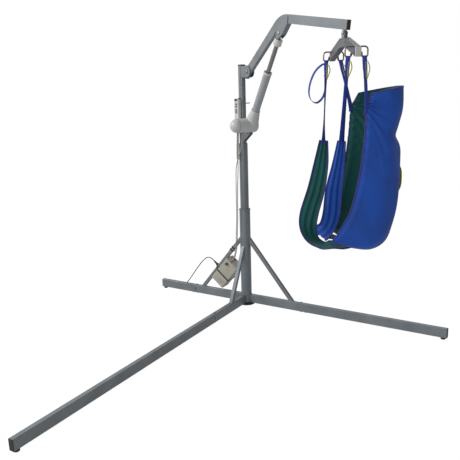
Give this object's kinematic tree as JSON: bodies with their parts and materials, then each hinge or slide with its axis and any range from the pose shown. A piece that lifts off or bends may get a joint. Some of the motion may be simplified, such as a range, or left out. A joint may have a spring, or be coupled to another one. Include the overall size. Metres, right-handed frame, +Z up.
{
  "type": "patient lift hoist",
  "caption": "Floor-standing patient lift with swivelling mast, electric boom, turning spreader bar and a fabric sling",
  "frame": {"origin": "mast axis on the floor, at the underside of the round pad", "axes": "+X along the long right leg, -Y along the longest leg, +Z up"},
  "size_m": [2.182, 2.2235, 1.9442],
  "materials": {
    "frame_paint": "satin",
    "steel": "satin",
    "brass_pin": "polished",
    "black_plastic": "matte",
    "black_rubber": "matte",
    "bush_plastic": "matte",
    "grey_plastic": "satin",
    "actuator_tube": "anodised",
    "white_plastic": "gloss",
    "box_plastic": "satin",
    "button_grey": "matte",
    "stop_red": "gloss",
    "hook_wire": "bronze coloured",
    "pale_cable": "satin",
    "black_cable": "satin",
    "blue_fabric": "woven",
    "yellow_webbing": "woven"
  },
  "bodies": {
    "base": {"floor_pad": "black_rubber", "socket_tube": "frame_paint", "socket_bushes": "bush_plastic", "hub_stubs": "frame_paint", "leg_spigots": "steel", "leg_feet": "black_rubber", "braces": "frame_paint", "leg_cap_left": "grey_plastic", "leg_caps_long": "black_plastic", "leg_left": "frame_paint", "leg_right": "frame_paint", "leg_front": "frame_paint", "leg_screws": "steel", "box_mount": "frame_paint", "control_box": "box_plastic", "battery": "box_plastic", "cable_clips": "black_plastic", "base_cables": "pale_cable", "mains_inlet_plug": "black_cable", "mains_lead": "black_cable", "mains_coil": "black_cable", "mains_plug": "black_cable"},
    "mast": {"mast_lower_tube": "frame_paint", "mast_upper_tube": "frame_paint", "mast_cap": "black_plastic", "boom_clevis": "frame_paint", "clevis_spacers": "black_plastic", "boom_pivot_pin": "steel", "actuator_bracket": "frame_paint", "bracket_pin": "steel", "handset_holder": "black_plastic", "handset_shell": "grey_plastic", "handset_coil": "pale_cable", "mast_cables": "pale_cable"},
    "boom": {"boom_tube": "frame_paint", "boom_gusset": "frame_paint", "boom_end_cap": "black_plastic", "hanger_tab": "frame_paint", "rod_pin": "brass_pin"},
    "actuator_body": {"motor_housing": "grey_plastic", "actuator_tube": "actuator_tube", "tube_guide": "grey_plastic", "drive_screw": "steel", "actuator_cable_motor": "pale_cable"},
    "actuator_rod": {"piston_rod": "steel", "rod_head": "white_plastic"},
    "hanger": {"hanger_fork": "steel", "hanger_pin": "steel", "swivel_bolt": "steel"},
    "spreader": {"spreader_bar": "frame_paint", "spreader_end_caps": "grey_plastic", "spreader_hooks": "hook_wire", "sling_body": "blue_fabric", "sling_leg_near": "blue_fabric", "sling_leg_far": "blue_fabric", "sling_straps": "blue_fabric", "sling_handle": "yellow_webbing"},
    "button_up": {"handset_button_up": "button_grey"},
    "button_down": {"handset_button_down": "button_grey"},
    "stop": {"stop_button": "stop_red"}
  },
  "joints": [
    {"name": "mast_swivel", "type": "hinge", "parent": "base", "child": "mast", "pos_m": [0, 0, 0.7], "axis": [0, 0, 1], "range_deg": [-61, 29]},
    {"name": "boom_lift", "type": "hinge", "parent": "mast", "child": "boom", "pos_m": [0.08221, -0.04557, 1.639], "axis": [-0.4848, -0.8746, 0], "range_deg": [-36, 5]},
    {"name": "actuator_tilt", "type": "hinge", "parent": "mast", "child": "actuator_body", "pos_m": [0.06385, -0.03539, 1.24], "axis": [-0.4848, -0.8746, 0], "range_deg": [-19.86, 3.62]},
    {"name": "rod_tilt", "type": "hinge", "parent": "boom", "child": "actuator_rod", "pos_m": [0.40495, -0.22447, 1.848], "axis": [-0.4848, -0.8746, 0], "range_deg": [-3.38, 18.14]},
    {"name": "hanger_tilt", "type": "hinge", "parent": "boom", "child": "hanger", "pos_m": [0.90611, -0.50226, 1.79534], "axis": [-0.4848, -0.8746, 0], "range_deg": [-6, 37]},
    {"name": "spreader_swivel", "type": "hinge", "parent": "hanger", "child": "spreader", "pos_m": [0.90611, -0.50226, 1.77534], "axis": [0, 0, 1], "continuous": true},
    {"name": "button_up_press", "type": "slide", "parent": "mast", "child": "button_up", "axis": [0.4848, 0.8746, 0], "range_m": [0, 0.0015], "stiffness_N_per_m": 600},
    {"name": "button_down_press", "type": "slide", "parent": "mast", "child": "button_down", "axis": [0.4848, 0.8746, 0], "range_m": [0, 0.0015], "stiffness_N_per_m": 600},
    {"name": "stop_press", "type": "slide", "parent": "base", "child": "stop", "axis": [0, 1, 0], "range_m": [0, 0.004], "stiffness_N_per_m": 900}
  ],
  "couplings": [
    {"joint": "actuator_tilt", "follows": "boom_lift", "ratio": 0.524},
    {"joint": "rod_tilt", "follows": "boom_lift", "ratio": -0.476},
    {"joint": "hanger_tilt", "follows": "boom_lift", "ratio": -1}
  ]
}
